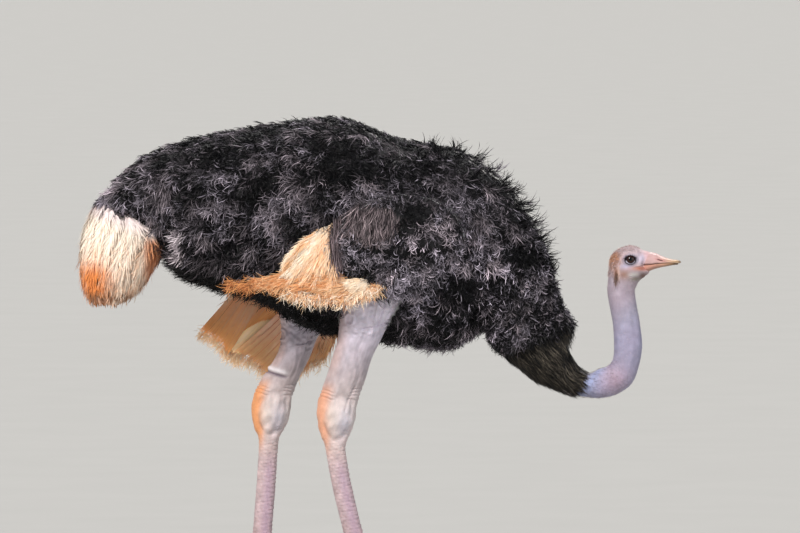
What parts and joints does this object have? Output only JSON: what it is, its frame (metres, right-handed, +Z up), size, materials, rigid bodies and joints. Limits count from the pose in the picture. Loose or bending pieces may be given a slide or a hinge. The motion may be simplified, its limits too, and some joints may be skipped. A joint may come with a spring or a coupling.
{
  "type": "ostrich",
  "caption": "Life-size still model of a male Somali ostrich walking with its neck lowered in a U and its head level.",
  "frame": {"origin": "on the floor, under the middle of the bird's bounding box", "axes": "+X forward along the bird, +Z up, -Y towards the bird's right side"},
  "size_m": [1.6882, 0.5663, 1.3261],
  "materials": {
    "plumage_black": "matte, loose and frizzy",
    "plumage_pale": "matte, soft plumes stained orange at the tips",
    "skin": "matte, finely wrinkled",
    "bill": "satin horn",
    "claw": "satin horn",
    "eye": "wet gloss"
  },
  "bodies": {
    "root": {"trunk": "plumage_black", "neck_collar": "plumage_black", "neck_foot": "plumage_black", "neck_bend": "skin", "neck_upper": "skin", "head": "skin", "bill_upper": "bill", "bill_lower": "bill", "eye_right": "eye", "eye_left": "eye", "ear_right": "skin", "ear_left": "skin", "tail": "plumage_pale", "wing_coverts_right": "plumage_black", "wing_coverts_left": "plumage_black", "wing_plumes_right": "plumage_pale", "wing_plumes_left": "plumage_pale", "drumstick_right": "skin", "drumstick_left": "skin", "shank_right": "skin", "shank_left": "skin", "toe_inner_right": "skin", "toe_inner_left": "skin", "toe_outer_right": "skin", "toe_outer_left": "skin", "claw_inner_right": "claw", "claw_inner_left": "claw", "claw_outer_right": "claw", "claw_outer_left": "claw"}
  },
  "joints": []
}
